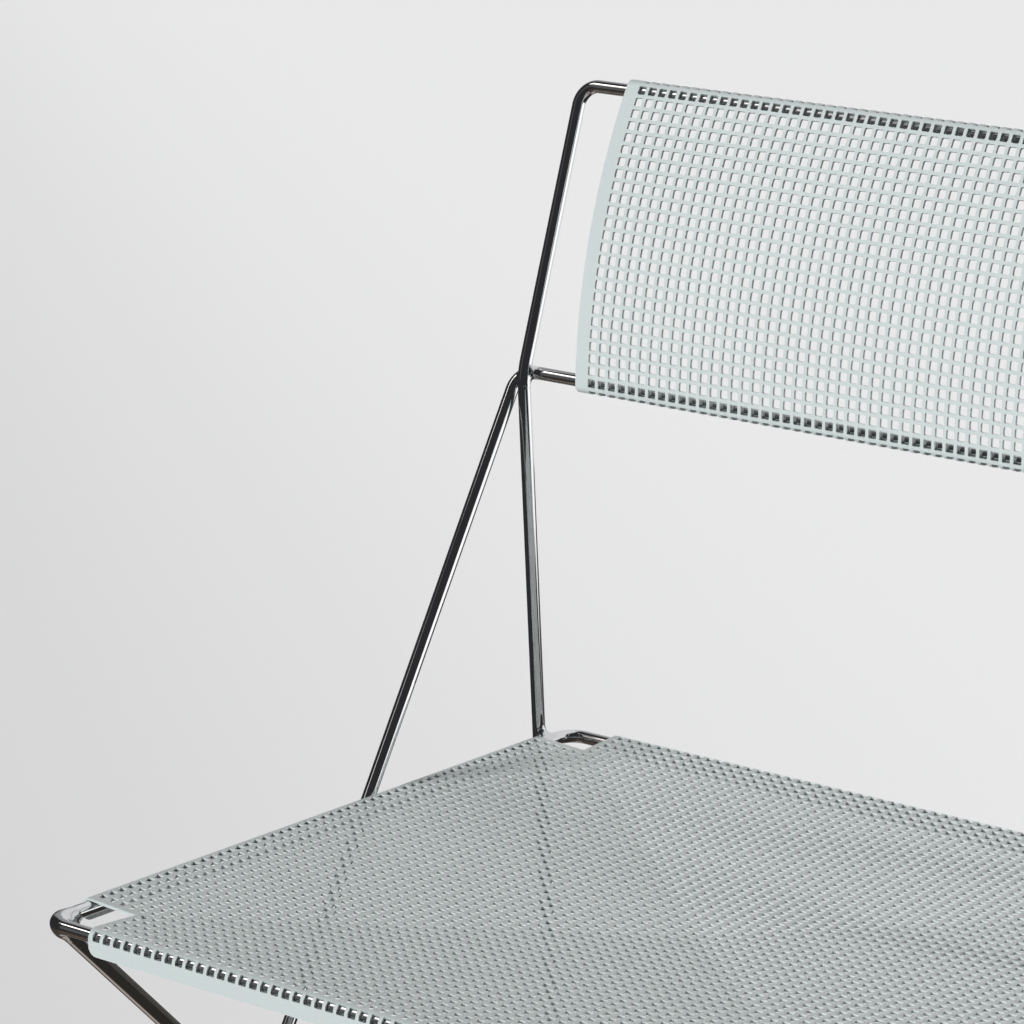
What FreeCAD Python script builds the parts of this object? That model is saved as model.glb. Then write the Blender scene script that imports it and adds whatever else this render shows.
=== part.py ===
"""Stacking garden chair: a welded frame of bent steel rod with a folded sheet seat and back.

Millimetres, +Z up, the floor at Z = 0.  The sitter faces -Y and +X is the viewer's right.
The chair is the same on both sides of the plane X = 0 and nothing on it moves.
"""
import FreeCAD, Part
import math
import os

V = FreeCAD.Vector
doc = FreeCAD.newDocument("chair")

# Driving dimensions, in millimetres and degrees
SIZES = {
    "rod_dia": 7.0,
    "weld_gap": 0.2,
    "bend_radius": 11.0,
    "seat_width": 460.0,
    "seat_depth": 406.0,
    "seat_tilt": 3.215,
    "front_rail_y": -186.691,
    "front_rail_height": 442.2,
    "kink_y": 193.149,
    "kink_height": 626.4,
    "kink_radius": 40.0,
    "upright_lean": 20.76,
    "back_leg_lean": 2.065,
    "top_rail_height": 771.8,
    "back_rail_y": 201.249,
    "back_rail_height": 625.5,
    "front_leg_spread": 493.4,
    "front_leg_lean": 35.61,
    "strut_dia": 8.5,
    "strut_lean": 43.3,
    "strut_bite": 0.8,
    "saw_size": 30.0,
    "sheet_thickness": 1.25,
    "hem_gap": 0.2,
    "hem_drop": 8.0,
    "seat_dish": 12.5,
    "notch_width": 30.0,
    "notch_depth": 27.6,
    "back_width": 411.0,
    "back_radius": 314.5,
    "hook_turn": 180.0,
    "hook_slack": 1.1,
    "hook_tab": 1.0,
    "glide_dia": 11.5,
    "glide_sole": 3.2,
    "front_glide_length": 24.0,
    "back_glide_length": 10.0,
    "weld_radius": 5.2,
    "corner_weld_radius": 6.0,
    "window_size": 21.5,
    "window_pitch": 33.0,
    "window_columns": 12,
    "seat_window_rows": 11,
    "back_window_rows": 4,
}

sheet = doc.addObject("Spreadsheet::Sheet", "sizes")
for row, (alias, value) in enumerate(SIZES.items(), start=1):
    sheet.set(f"A{row}", alias)
    sheet.set(f"B{row}", str(value))
    sheet.setAlias(f"B{row}", alias)
doc.recompute()


def size(alias):
    """A driving dimension as the sheet holds it."""
    return float(sheet.get(alias))


ROD_R = size("rod_dia") / 2
TOUCH = size("rod_dia") + size("weld_gap")
STRUT_R = size("strut_dia") / 2
STRUT_TOUCH = ROD_R + STRUT_R + size("weld_gap")
BEND = size("bend_radius")
TILT = math.radians(size("seat_tilt"))
HALF_W = size("seat_width") / 2
HALF_D = size("seat_depth") / 2
HEM_IN = ROD_R + size("hem_gap")
HEM_OUT = HEM_IN + size("sheet_thickness")
SIDES = {"left": -1, "right": 1}


def bound(name, kind, **cells):
    """A new object whose named properties follow cells of the sheet."""
    made = doc.addObject(kind, name)
    for prop, expression in cells.items():
        made.setExpression(prop, expression)
    return made


def along(start, direction):
    """A placement at start with its own Z axis along direction."""
    return FreeCAD.Placement(start, FreeCAD.Rotation(V(0, 0, 1), direction))


def rounded(points, radii):
    """Straight runs through the points, joined at each corner by a tangent arc of its radius."""
    cuts = {}
    for corner, radius in enumerate(radii, start=1):
        tip = points[corner]
        back = (points[corner - 1] - tip).normalize()
        ahead = (points[corner + 1] - tip).normalize()
        half = back.getAngle(ahead) / 2
        reach = radius / math.tan(half)
        middle = (back + ahead).normalize() * (radius / math.sin(half) - radius)
        cuts[corner] = (tip + back * reach, tip + middle, tip + ahead * reach)
    edges = []
    for k in range(1, len(points)):
        start = cuts[k - 1][2] if k - 1 in cuts else points[k - 1]
        end = cuts[k][0] if k in cuts else points[k]
        edges.append(Part.LineSegment(start, end).toShape())
        if k in cuts:
            edges.append(Part.Arc(*cuts[k]).toShape())
    return Part.Wire(edges)


def bent_rod(name, path_wire):
    """A round rod bent along a path: a circle of the rod's size swept along the wire."""
    path = doc.addObject("Part::Feature", name + "_path")
    path.Shape = path_wire
    first = path_wire.OrderedEdges[0]
    section = bound(name + "_section", "Part::Circle", Radius="sizes.rod_dia / 2")
    section.Placement = along(first.firstVertex().Point, first.tangentAt(first.FirstParameter))
    rod = doc.addObject("Part::Sweep", name)
    rod.Sections = [section]
    rod.Spine = (path, [f"Edge{k + 1}" for k in range(len(path_wire.Edges))])
    rod.Solid = True
    rod.Frenet = False
    return rod


# The seat's own frame: its origin is the middle of the rod ring, its Y axis runs to the back
seat_centre = V(
    0,
    size("front_rail_y") + HALF_D * math.cos(TILT),
    size("front_rail_height") - HALF_D * math.sin(TILT),
)
seat_place = FreeCAD.Placement(seat_centre, FreeCAD.Rotation(V(1, 0, 0), -size("seat_tilt")))


def on_seat(x, y, z=0.0):
    """A point of the seat's own frame, in the chair's frame."""
    return seat_place.multVec(V(x, y, z))


# Seat ring: one closed rod under the four edges of the seat, drawn as two halves that meet in the middle
ring_halves = []
for side_name, side in SIDES.items():
    half_run = [
        on_seat(0, -HALF_D),
        on_seat(side * HALF_W, -HALF_D),
        on_seat(side * HALF_W, HALF_D),
        on_seat(0, HALF_D),
    ]
    ring_halves.append(bent_rod(f"ring_{side_name}", rounded(half_run, [BEND, BEND])))
seat_ring = doc.addObject("Part::MultiFuse", "seat_ring")
seat_ring.Shapes = ring_halves
seat_ring.Refine = True

# Back leg frame: one rod from a rear foot, past the ring, over the back and down again
upright_x = HALF_W + TOUCH
leg_slope = math.tan(math.radians(size("back_leg_lean")))
upright_slope = math.tan(math.radians(size("upright_lean")))
rod_end_z = size("glide_sole")
rear_foot_y = size("kink_y") + leg_slope * (size("kink_height") - rod_end_z)
top_rail_y = size("kink_y") + upright_slope * (size("top_rail_height") - size("kink_height"))


def back_leg_points(side):
    """Foot, kink and top corner of one side of the back leg frame."""
    x = side * upright_x
    return [
        V(x, rear_foot_y, rod_end_z),
        V(x, size("kink_y"), size("kink_height")),
        V(x, top_rail_y, size("top_rail_height")),
    ]


back_leg_run = back_leg_points(-1) + back_leg_points(1)[::-1]
back_leg_frame = bent_rod(
    "back_leg_frame",
    rounded(back_leg_run, [size("kink_radius"), BEND, BEND, size("kink_radius")]),
)

# Struts: from under the ring's front corners down and back to the rear feet; slid along the corner by
# what they are thicker than the other rods, so that they lie against the legs
corner_reach = BEND * math.sin(math.radians(45))
slide = STRUT_R - ROD_R
strut_top = on_seat(HALF_W - BEND + corner_reach - slide, -HALF_D + BEND - corner_reach - slide)
strut_slope = math.tan(math.radians(size("strut_lean")))
strut_low_z = (
    rear_foot_y + leg_slope * rod_end_z - strut_top.y - strut_slope * strut_top.z
) / (leg_slope - strut_slope)
strut_low = V(
    upright_x - STRUT_TOUCH,
    strut_top.y + strut_slope * (strut_top.z - strut_low_z),
    strut_low_z,
)

# Front leg frame: one rod from a front foot, up past the seat, then behind the uprights as the lower
# back rail, and down again to the other foot
leg_corner = V(size("front_leg_spread") / 2, size("back_rail_y"), size("back_rail_height"))
front_slope = math.tan(math.radians(size("front_leg_lean")))
crossing_z = (
    strut_top.y + strut_slope * strut_top.z - leg_corner.y + front_slope * leg_corner.z
) / (front_slope + strut_slope)
crossing_share = (strut_top.z - crossing_z) / (strut_top.z - strut_low.z)
crossing_on_strut = strut_top + (strut_low - strut_top) * crossing_share
crossing_on_leg = crossing_on_strut + V(STRUT_TOUCH, 0, 0)
leg_run = crossing_on_leg - leg_corner
front_foot = leg_corner + leg_run * ((leg_corner.z - rod_end_z) / (leg_corner.z - crossing_z))


def mirrored(point, side):
    """The point on the right side, or its twin on the left."""
    return V(side * point.x, point.y, point.z)


front_leg_run = [
    mirrored(front_foot, -1),
    mirrored(leg_corner, -1),
    leg_corner,
    front_foot,
]
front_leg_frame = bent_rod("front_leg_frame", rounded(front_leg_run, [BEND, BEND]))

nodes = [seat_ring, back_leg_frame, front_leg_frame]

# Each strut is a straight rod, sawn level at its top, with a groove in which the ring sits
saw_size = size("saw_size")
for side_name, side in SIDES.items():
    start = mirrored(strut_low, side)
    end = mirrored(strut_top, side)
    run = end - start
    raw = bound(f"strut_{side_name}_rod", "Part::Cylinder", Radius="sizes.strut_dia / 2")
    raw.Height = run.Length + size("strut_dia")
    raw.Placement = along(start, run)
    saw = bound(f"strut_{side_name}_saw", "Part::Box", Length="sizes.saw_size",
                Width="sizes.saw_size", Height="sizes.saw_size")
    saw_level = -ROD_R + size("strut_bite")
    saw.Placement.Base = end + V(-saw_size / 2, -saw_size / 2, saw_level)
    sawn = doc.addObject("Part::Cut", f"strut_{side_name}_sawn")
    sawn.Base = raw
    sawn.Tool = saw
    strut = doc.addObject("Part::Cut", f"strut_{side_name}")
    strut.Base = sawn
    strut.Tool = seat_ring
    nodes.append(strut)

# Seat panel: four flat facets folded down to the middle, a hem rolled over the ring on each edge
dish = size("seat_dish")
thick = size("sheet_thickness")


def facet_plate():
    """A closed plate with a shallow inverted pyramid on top and the same below, one thickness lower."""
    def level(drop):
        rim = [V(x * HALF_W, y * HALF_D, HEM_OUT - drop) for x, y in ((-1, -1), (1, -1), (1, 1), (-1, 1))]
        return rim, V(0, 0, HEM_OUT - dish - drop)

    top_rim, top_mid = level(0)
    low_rim, low_mid = level(thick)
    faces = []
    for k in range(4):
        n = (k + 1) % 4
        for ring in (
            [top_rim[k], top_rim[n], top_mid],
            [low_rim[n], low_rim[k], low_mid],
            [low_rim[k], low_rim[n], top_rim[n], top_rim[k]],
        ):
            faces.append(Part.Face(Part.makePolygon(ring + ring[:1])))
    return Part.Solid(Part.makeShell(faces))


def hem_face():
    """The hem's section: a quarter roll over the rod and a straight drop outside it."""
    drop = size("hem_drop")
    slant = math.sin(math.radians(45))
    outer = Part.Arc(V(0, 0, HEM_OUT), V(HEM_OUT * slant, 0, HEM_OUT * slant), V(HEM_OUT, 0, 0))
    inner = Part.Arc(V(HEM_IN, 0, 0), V(HEM_IN * slant, 0, HEM_IN * slant), V(0, 0, HEM_IN))
    lines = Part.makePolygon([V(HEM_OUT, 0, 0), V(HEM_OUT, 0, -drop), V(HEM_IN, 0, -drop), V(HEM_IN, 0, 0)])
    close = Part.LineSegment(V(0, 0, HEM_IN), V(0, 0, HEM_OUT)).toShape()
    return Part.Face(Part.Wire([outer.toShape()] + lines.Edges + [inner.toShape(), close]))


plate = doc.addObject("Part::Feature", "seat_facets")
plate.Shape = facet_plate()
seat_pieces = [plate]
HEM_EDGES = {
    "right": (0, HALF_W, HALF_D),
    "back": (90, HALF_D, HALF_W),
    "left": (180, HALF_W, HALF_D),
    "front": (270, HALF_D, HALF_W),
}
for edge_name, (turn, reach, half_length) in HEM_EDGES.items():
    roll = hem_face()
    roll.translate(V(reach, -half_length, 0))
    hem = doc.addObject("Part::Feature", f"hem_{edge_name}")
    hem.Shape = roll.extrude(V(0, 2 * half_length, 0))
    hem.Placement = FreeCAD.Placement(V(0, 0, 0), FreeCAD.Rotation(V(0, 0, 1), turn))
    seat_pieces.append(hem)
folded = doc.addObject("Part::MultiFuse", "seat_folded")
folded.Shapes = seat_pieces

# A coarse grid of square windows stands for the fine punching of both sheets: the same share of the sheet
# is open
CUT_OUT = 4 * HEM_OUT
WINDOW = size("window_size")


def spread(count_cell):
    """Places on one line of the grid, a pitch apart and even about the middle."""
    count = int(size(count_cell))
    return [(k - (count - 1) / 2) * size("window_pitch") for k in range(count)]


def window(name, middle, turn):
    """A square block through the sheet, its own Z axis tipped about X by turn degrees."""
    block = bound(name, "Part::Box", Length="sizes.window_size", Width="sizes.window_size")
    block.Height = 2 * CUT_OUT
    tip = FreeCAD.Rotation(V(1, 0, 0), turn)
    block.Placement = FreeCAD.Placement(middle + tip.multVec(V(-WINDOW / 2, -WINDOW / 2, -CUT_OUT)), tip)
    return block


# The four corners of the sheet are cut away square, so that the ring's bends show; each cutting block
# runs well past the hem on its outer sides
notches = []
for x_side in (-1, 1):
    for y_side in (-1, 1):
        notch = bound(
            f"notch_{len(notches)}",
            "Part::Box",
            Length=f"sizes.notch_width + {CUT_OUT}",
            Width=f"sizes.notch_depth + {CUT_OUT}",
        )
        notch.Height = 2 * CUT_OUT
        low_x = HALF_W - size("notch_width") if x_side > 0 else -HALF_W - CUT_OUT
        low_y = HALF_D - size("notch_depth") if y_side > 0 else -HALF_D - CUT_OUT
        notch.Placement.Base = V(low_x, low_y, -CUT_OUT)
        notches.append(notch)
seat_windows = []
for x in spread("window_columns"):
    for y in spread("seat_window_rows"):
        seat_windows.append(window(f"seat_window_{len(seat_windows)}", V(x, y, 0), 0))
seat_cuts = doc.addObject("Part::MultiFuse", "seat_cuts")
seat_cuts.Shapes = notches + seat_windows
seat_panel = doc.addObject("Part::Cut", "seat_panel")
seat_panel.Base = folded
seat_panel.Tool = seat_cuts
seat_panel.Placement = seat_place
nodes.append(seat_panel)

# Back panel: a sheet arched about a level axis, hooked over the top rail and under the lower one
back_r = size("back_radius")
top_rail = V(top_rail_y, size("top_rail_height"), 0)
low_rail = V(size("back_rail_y"), size("back_rail_height"), 0)
chord = top_rail - low_rail
axis_r = back_r - HEM_OUT
behind = V(chord.y, -chord.x, 0).normalize()
arch_centre = (top_rail + low_rail) * 0.5 + behind * math.sqrt(axis_r ** 2 - (chord.Length / 2) ** 2)
top_angle = math.atan2(top_rail.y - arch_centre.y, top_rail.x - arch_centre.x)
low_angle = math.atan2(low_rail.y - arch_centre.y, low_rail.x - arch_centre.x)
low_angle += 2 * math.pi if low_angle < 0 else 0.0
hook_turn = math.radians(size("hook_turn"))

# The sheet runs on a little past each rail before it turns, so its hooks have room to slip over
top_angle -= size("hook_slack") / axis_r
low_angle += size("hook_slack") / axis_r


def arc(centre, radius, start, end):
    """An arc about centre, turning from start to the larger angle end."""
    return Part.ArcOfCircle(Part.Circle(centre, V(0, 0, 1), radius), start, end)


def polar(centre, radius, angle):
    """The point at a radius and angle from centre."""
    return centre + V(math.cos(angle), math.sin(angle), 0) * radius


back_sheet = doc.addObject("PartDesign::Body", "back_sheet")
side_plane = next(p for p in back_sheet.Origin.OriginFeatures if p.Role == "YZ_Plane")
profile = back_sheet.newObject("Sketcher::SketchObject", "back_profile")
profile.AttachmentSupport = [(side_plane, "")]
profile.MapMode = "FlatFace"
top_hook = polar(arch_centre, axis_r, top_angle)
low_hook = polar(arch_centre, axis_r, low_angle)
tab_ends = []
for inset, hook_r in ((0.0, HEM_OUT), (thick, HEM_IN)):
    profile.addGeometry(arc(arch_centre, back_r - inset, top_angle, low_angle))
    profile.addGeometry(arc(top_hook, hook_r, top_angle - hook_turn, top_angle))
    profile.addGeometry(arc(low_hook, hook_r, low_angle, low_angle + hook_turn))
    for hook, angle, turn in ((top_hook, top_angle - hook_turn, -1), (low_hook, low_angle + hook_turn, 1)):
        tab_start = polar(hook, hook_r, angle)
        tab_end = polar(tab_start, size("hook_tab"), angle + turn * math.pi / 2)
        profile.addGeometry(Part.LineSegment(tab_start, tab_end))
        tab_ends.append(tab_end)
profile.addGeometry(Part.LineSegment(tab_ends[0], tab_ends[2]))
profile.addGeometry(Part.LineSegment(tab_ends[1], tab_ends[3]))
back_pad = back_sheet.newObject("PartDesign::Pad", "back_pad")
back_pad.Profile = profile
back_pad.SideType = "Symmetric"
back_pad.setExpression("Length", "sizes.back_width")
mid_angle = (top_angle + low_angle) / 2
back_windows = []
for x in spread("window_columns"):
    for run in spread("back_window_rows"):
        angle = mid_angle - run / back_r
        on_arc = polar(arch_centre, back_r, angle)
        middle = V(x, on_arc.x, on_arc.y)
        back_windows.append(window(f"back_window_{len(back_windows)}", middle, math.degrees(angle) - 90))
back_cuts = doc.addObject("Part::MultiFuse", "back_cuts")
back_cuts.Shapes = back_windows
back_panel = doc.addObject("Part::Cut", "back_panel")
back_panel.Base = back_sheet
back_panel.Tool = back_cuts
nodes.append(back_panel)


# Glides: a plastic sleeve on the end of each leg, cut off flat at the floor
def glide(name, rod_end, up_leg, length_cell):
    """A sleeve round a leg's lower end, with a blind bore for the rod and a flat sole."""
    up = V(up_leg).normalize()
    diameter = size("glide_dia")
    sleeve = bound(
        name + "_sleeve",
        "Part::Cylinder",
        Radius="sizes.glide_dia / 2",
        Height=f"sizes.{length_cell} + sizes.glide_dia",
    )
    sleeve.Placement = along(rod_end - up * diameter, up)
    bore = bound(
        name + "_bore",
        "Part::Cylinder",
        Radius="sizes.rod_dia / 2",
        Height=f"2 * sizes.{length_cell}",
    )
    bore.Placement = along(rod_end, up)
    ground = bound(
        name + "_ground",
        "Part::Box",
        Length="4 * sizes.glide_dia",
        Width="4 * sizes.glide_dia",
        Height="4 * sizes.glide_dia",
    )
    ground.Placement.Base = V(rod_end.x - 2 * diameter, rod_end.y - 2 * diameter, -4 * diameter)
    waste = doc.addObject("Part::MultiFuse", name + "_waste")
    waste.Shapes = [bore, ground]
    made = doc.addObject("Part::Cut", name)
    made.Base = sleeve
    made.Tool = waste
    return made


for side_name, side in SIDES.items():
    foot = mirrored(front_foot, side)
    knee = mirrored(leg_corner, side)
    nodes.append(glide(f"glide_front_{side_name}", foot, knee - foot, "front_glide_length"))
    foot, knee = back_leg_points(side)[:2]
    nodes.append(glide(f"glide_back_{side_name}", foot, knee - foot, "back_glide_length"))


# Welds: a bead of filler between each pair of rods that touch
def welds(name, spot, rods, pole, radius="weld_radius"):
    """Two beads, left and right, shaped by the rods that they join; each ball's poles lie along pole."""
    beads = []
    for side_name, side in SIDES.items():
        bead = bound(f"{name}_{side_name}", "Part::Sphere", Radius="sizes." + radius)
        bead.Placement = along(mirrored(spot, side), pole)
        beads.append(bead)
    pair = doc.addObject("Part::MultiFuse", name + "_pair")
    pair.Shapes = beads
    joined = doc.addObject("Part::MultiFuse", name + "_rods")
    joined.Shapes = rods
    made = doc.addObject("Part::Cut", name)
    made.Base = pair
    made.Tool = joined
    return made


struts = [node for node in nodes if node.Label.startswith("strut")]
ACROSS = V(1, 0, 0)
UPRIGHT = V(0, 0, 1)
seat_weld_y = rear_foot_y - leg_slope * (on_seat(0, HALF_D).z - rod_end_z)
seat_weld_share = (seat_weld_y - seat_centre.y) / math.cos(TILT)
seat_weld = on_seat(HALF_W + TOUCH / 2, seat_weld_share)
nodes.append(welds("weld_seat_corner", seat_weld, [seat_ring, back_leg_frame], ACROSS))
rail_weld = V(upright_x, (size("kink_y") + size("back_rail_y")) / 2, size("back_rail_height"))
nodes.append(welds("weld_back_rail", rail_weld, [front_leg_frame, back_leg_frame], UPRIGHT))
beside_strut = V(STRUT_R + size("weld_gap") / 2, 0, 0)
crossing_weld = crossing_on_strut + beside_strut
nodes.append(welds("weld_leg_crossing", crossing_weld, [front_leg_frame] + struts, ACROSS))
foot_weld = strut_low + beside_strut
nodes.append(welds("weld_rear_foot", foot_weld, [back_leg_frame] + struts, ACROSS))
strut_dir = (strut_low - strut_top).normalize()
corner_weld = strut_top + strut_dir * size("rod_dia")
corner_rods = [seat_ring] + struts
nodes.append(welds("weld_front_corner", corner_weld, corner_rods, UPRIGHT, "corner_weld_radius"))

doc.recompute()

# Every object has to have come out whole before anything is written
for made in doc.Objects:
    if "Invalid" in made.State or "Error" in made.State:
        raise RuntimeError(f"{made.Label} failed: {made.State}")
for node in nodes:
    if node.Shape.isNull() or not node.Shape.isValid():
        raise RuntimeError(f"{node.Label} has no valid shape")

os.makedirs("parts", exist_ok=True)
for node in nodes:
    node.Shape.exportStep(os.path.join("parts", node.Label + ".step"))
    box = node.Shape.BoundBox
    print(
        f"{node.Label}: {len(node.Shape.Solids)} solids, {node.Shape.Volume / 1000:.2f} cm3,",
        f"x {box.XMin:.1f} {box.XMax:.1f}, y {box.YMin:.1f} {box.YMax:.1f}, z {box.ZMin:.1f} {box.ZMax:.1f}",
    )
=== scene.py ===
"""Looks of a stacking garden chair: plated rod frame, punched and powder-coated sheet seat and back.

Sizes are written in millimetres, in the CAD's frame: floor at Z = 0, sitter facing -Y, +X to the right
of someone who faces the chair.  `solid` turns them into metres when a mesh is made.
"""
import math

import bpy
import numpy as np
from mathutils import Matrix, Vector


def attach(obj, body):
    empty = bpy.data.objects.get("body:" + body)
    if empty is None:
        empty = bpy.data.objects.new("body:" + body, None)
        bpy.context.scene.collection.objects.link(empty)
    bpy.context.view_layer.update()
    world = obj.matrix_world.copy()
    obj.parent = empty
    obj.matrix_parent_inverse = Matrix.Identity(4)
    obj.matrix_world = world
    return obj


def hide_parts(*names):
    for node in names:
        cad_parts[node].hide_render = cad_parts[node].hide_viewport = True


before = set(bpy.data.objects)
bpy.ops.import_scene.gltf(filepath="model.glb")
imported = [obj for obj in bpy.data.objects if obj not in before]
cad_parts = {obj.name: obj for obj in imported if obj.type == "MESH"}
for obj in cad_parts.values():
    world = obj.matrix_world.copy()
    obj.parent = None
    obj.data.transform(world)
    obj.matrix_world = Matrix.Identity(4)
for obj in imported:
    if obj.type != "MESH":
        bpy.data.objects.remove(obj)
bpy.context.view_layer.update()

# Sizes shared with the solids
ROD_R = 3.5
STRUT_R = 4.25
BEND = 11.0
KINK_BEND = 40.0
SEAT_HALF_W = 230.0
SEAT_HALF_D = 203.0
SEAT_TILT = math.radians(3.215)
RAIL_FRONT = np.array([0.0, -186.691, 442.2])
GAP = 0.2
TOUCH = 2 * ROD_R + GAP
STRUT_TOUCH = ROD_R + STRUT_R + GAP
KINK = np.array([0.0, 193.149, 626.4])
LEG_SLOPE = math.tan(math.radians(2.065))
UPRIGHT_SLOPE = math.tan(math.radians(20.76))
TOP_Z = 771.8
LOW_RAIL = np.array([201.249, 625.5])
LEG_CORNER = np.array([246.7, 201.249, 625.5])
FRONT_SLOPE = math.tan(math.radians(35.61))
STRUT_SLOPE = math.tan(math.radians(43.3))
ROD_END_Z = 3.2
SHEET = 1.25
HEM_IN = 3.7
HEM_OUT = HEM_IN + SHEET
HEM_MID = (HEM_IN + HEM_OUT) / 2
HEM_DROP = 8.0
SEAT_DISH = 12.5
NOTCH = np.array([200.0, 175.4])
BACK_HALF_W = 205.5
BACK_R = 314.5
HOOK_SLACK = 1.1
HOOK_TAB = 1.0
GLIDE_R = 5.75

# Punching: square holes with softened corners on a square pitch, and the flat sheet's thickness
# with its coat
PITCH = 6.5
HOLE = 4.6
HOLE_CORNER = 0.5
COATED = 1.5

# Holes are counted from the middle of a sheet.  The seat: last row and column of the middle block, last
# row of the side blocks, first row and column on the hems.  The back: last column, last row before the hems.
SEAT_LAST = 30
SIDE_LAST = 26
HEM_ROW, HEM_COL = 31, 35
BACK_LAST_COL, BACK_LAST_ROW = 30, 11
BACK_COATED_HALF = 11.6 * PITCH

# Ends of rods: chamfer as a share of the radius, and how far short of the ring's line the strut ends,
# inside its bead
CHAMFER = 0.12
STRUT_SHORT = 1.6

MIRROR = np.array([-1.0, 1.0, 1.0])
upright_x = SEAT_HALF_W + TOUCH
rear_foot_y = KINK[1] + LEG_SLOPE * (KINK[2] - ROD_END_Z)
TOP_RAIL = np.array([KINK[1] + UPRIGHT_SLOPE * (TOP_Z - KINK[2]), TOP_Z])


def on_seat(points):
    """The seat's own frame turned by the seat's tilt about X and moved to the middle of the ring."""
    x, y, z = np.moveaxis(np.asarray(points, float), -1, 0)
    c, s = math.cos(SEAT_TILT), math.sin(SEAT_TILT)
    middle = RAIL_FRONT + SEAT_HALF_D * np.array([0.0, c, -s])
    return np.stack([x, y * c + z * s, -y * s + z * c], -1) + middle


# Mesh making


def solid(name, verts, faces, finish, slot, sharp=35.0, stands_for=()):
    """A piece from whole arrays: verts in millimetres, faces a list of index arrays of 3 or 4 columns."""
    mesh = bpy.data.meshes.new(name)
    sizes = np.concatenate([np.full(len(f), f.shape[1]) for f in faces])
    loops = np.concatenate([f.ravel() for f in faces])
    mesh.vertices.add(len(verts))
    mesh.vertices.foreach_set("co", (np.asarray(verts) * 0.001).astype(np.float32).ravel())
    mesh.loops.add(len(loops))
    mesh.loops.foreach_set("vertex_index", loops.astype(np.int32))
    mesh.polygons.add(len(sizes))
    mesh.polygons.foreach_set("loop_start", np.concatenate([[0], np.cumsum(sizes)[:-1]]).astype(np.int32))
    mesh.update(calc_edges=True)
    mesh.validate()
    mesh.polygons.foreach_set("use_smooth", np.ones(len(mesh.polygons), bool))
    mesh.set_sharp_from_angle(angle=math.radians(sharp))
    mesh.materials.append(finish)
    piece = bpy.data.objects.new(name, mesh)
    bpy.context.scene.collection.objects.link(piece)
    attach(piece, "root")
    if stands_for:
        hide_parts(*stands_for)
    return piece


def joined(parts):
    """Several (verts, faces) shapes as one, their indices moved on."""
    start = np.cumsum([0] + [len(v) for v, _ in parts[:-1]])
    faces = [f + s for (_, fs), s in zip(parts, start) for f in fs]
    return np.concatenate([v for v, _ in parts]), faces


def mirrored(shape):
    """The shape's twin on the other side of X = 0, its faces turned to point outwards again."""
    verts, faces = shape
    return verts * MIRROR, [f[:, ::-1] for f in faces]


def bent(corners, radii, steps=20):
    """A line through the corners, each corner replaced by a tangent arc, with points at equal turns
    about the arc's centre."""
    corners = [np.asarray(c, float) for c in corners]
    run = [corners[0][None]]
    for before, tip, after, radius in zip(corners, corners[1:], corners[2:], radii):
        back = (before - tip) / np.linalg.norm(before - tip)
        ahead = (after - tip) / np.linalg.norm(after - tip)
        half = math.acos(np.clip(back @ ahead, -1, 1)) / 2
        bisector = (back + ahead) / np.linalg.norm(back + ahead)
        centre = tip + bisector * radius / math.sin(half)
        start = tip + back * radius / math.tan(half) - centre
        side = -back * radius
        turn = np.linspace(0, math.pi - 2 * half, steps)[:, None]
        run.append(centre + np.cos(turn) * start + np.sin(turn) * side)
    run.append(corners[-1][None])
    return np.concatenate(run)


def rod(path, plane, closed=False, radius=ROD_R, sides=40):
    """A circle carried along a path: at each point two axes across the tangent, one of them lying in
    the plane square to `plane`, and the ring is their cosine and sine mix.  Open ends are chamfered."""
    if closed:
        tangent = np.roll(path, -1, 0) - np.roll(path, 1, 0)
    else:
        tangent = np.gradient(path, axis=0)
        step = path[1:] - path[:-1]
        step = step / np.linalg.norm(step, axis=1, keepdims=True)
        tangent[1:-1] = step[1:] + step[:-1]
    tangent = tangent / np.linalg.norm(tangent, axis=1, keepdims=True)
    across = np.cross(tangent, np.asarray(plane, float))
    across = across / np.linalg.norm(across, axis=1, keepdims=True)
    other = np.cross(tangent, across)
    size = np.full(len(path), radius)
    if not closed:
        chamfer = CHAMFER * radius
        path = np.concatenate([path[:1] - tangent[:1] * chamfer, path, path[-1:] + tangent[-1:] * chamfer])
        across = np.concatenate([across[:1], across, across[-1:]])
        other = np.concatenate([other[:1], other, other[-1:]])
        size = np.concatenate([[radius - chamfer], size, [radius - chamfer]])
    angle = np.linspace(0, 2 * math.pi, sides, endpoint=False)[None, :, None]
    ring = path[:, None] + size[:, None, None] * (
        np.cos(angle) * across[:, None] + np.sin(angle) * other[:, None]
    )
    count = len(path)
    index = np.arange(count * sides).reshape(count, sides)
    low = index if closed else index[:-1]
    high = np.roll(index, -1, 0) if closed else index[1:]
    quads = np.stack([low, np.roll(low, -1, 1), np.roll(high, -1, 1), high], -1).reshape(-1, 4)
    verts = ring.reshape(-1, 3)
    if closed:
        return verts, [quads]
    ends = len(verts) + np.arange(2)
    fans = [
        np.stack([np.full(sides, ends[0]), np.roll(index[0], -1), index[0]], -1),
        np.stack([np.full(sides, ends[1]), index[-1], np.roll(index[-1], -1)], -1),
    ]
    return np.concatenate([verts, path[[0, -1]]]), [quads] + fans


# Punched sheet: a flat net of cells, each with a hole, then folded and given its thickness


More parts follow.
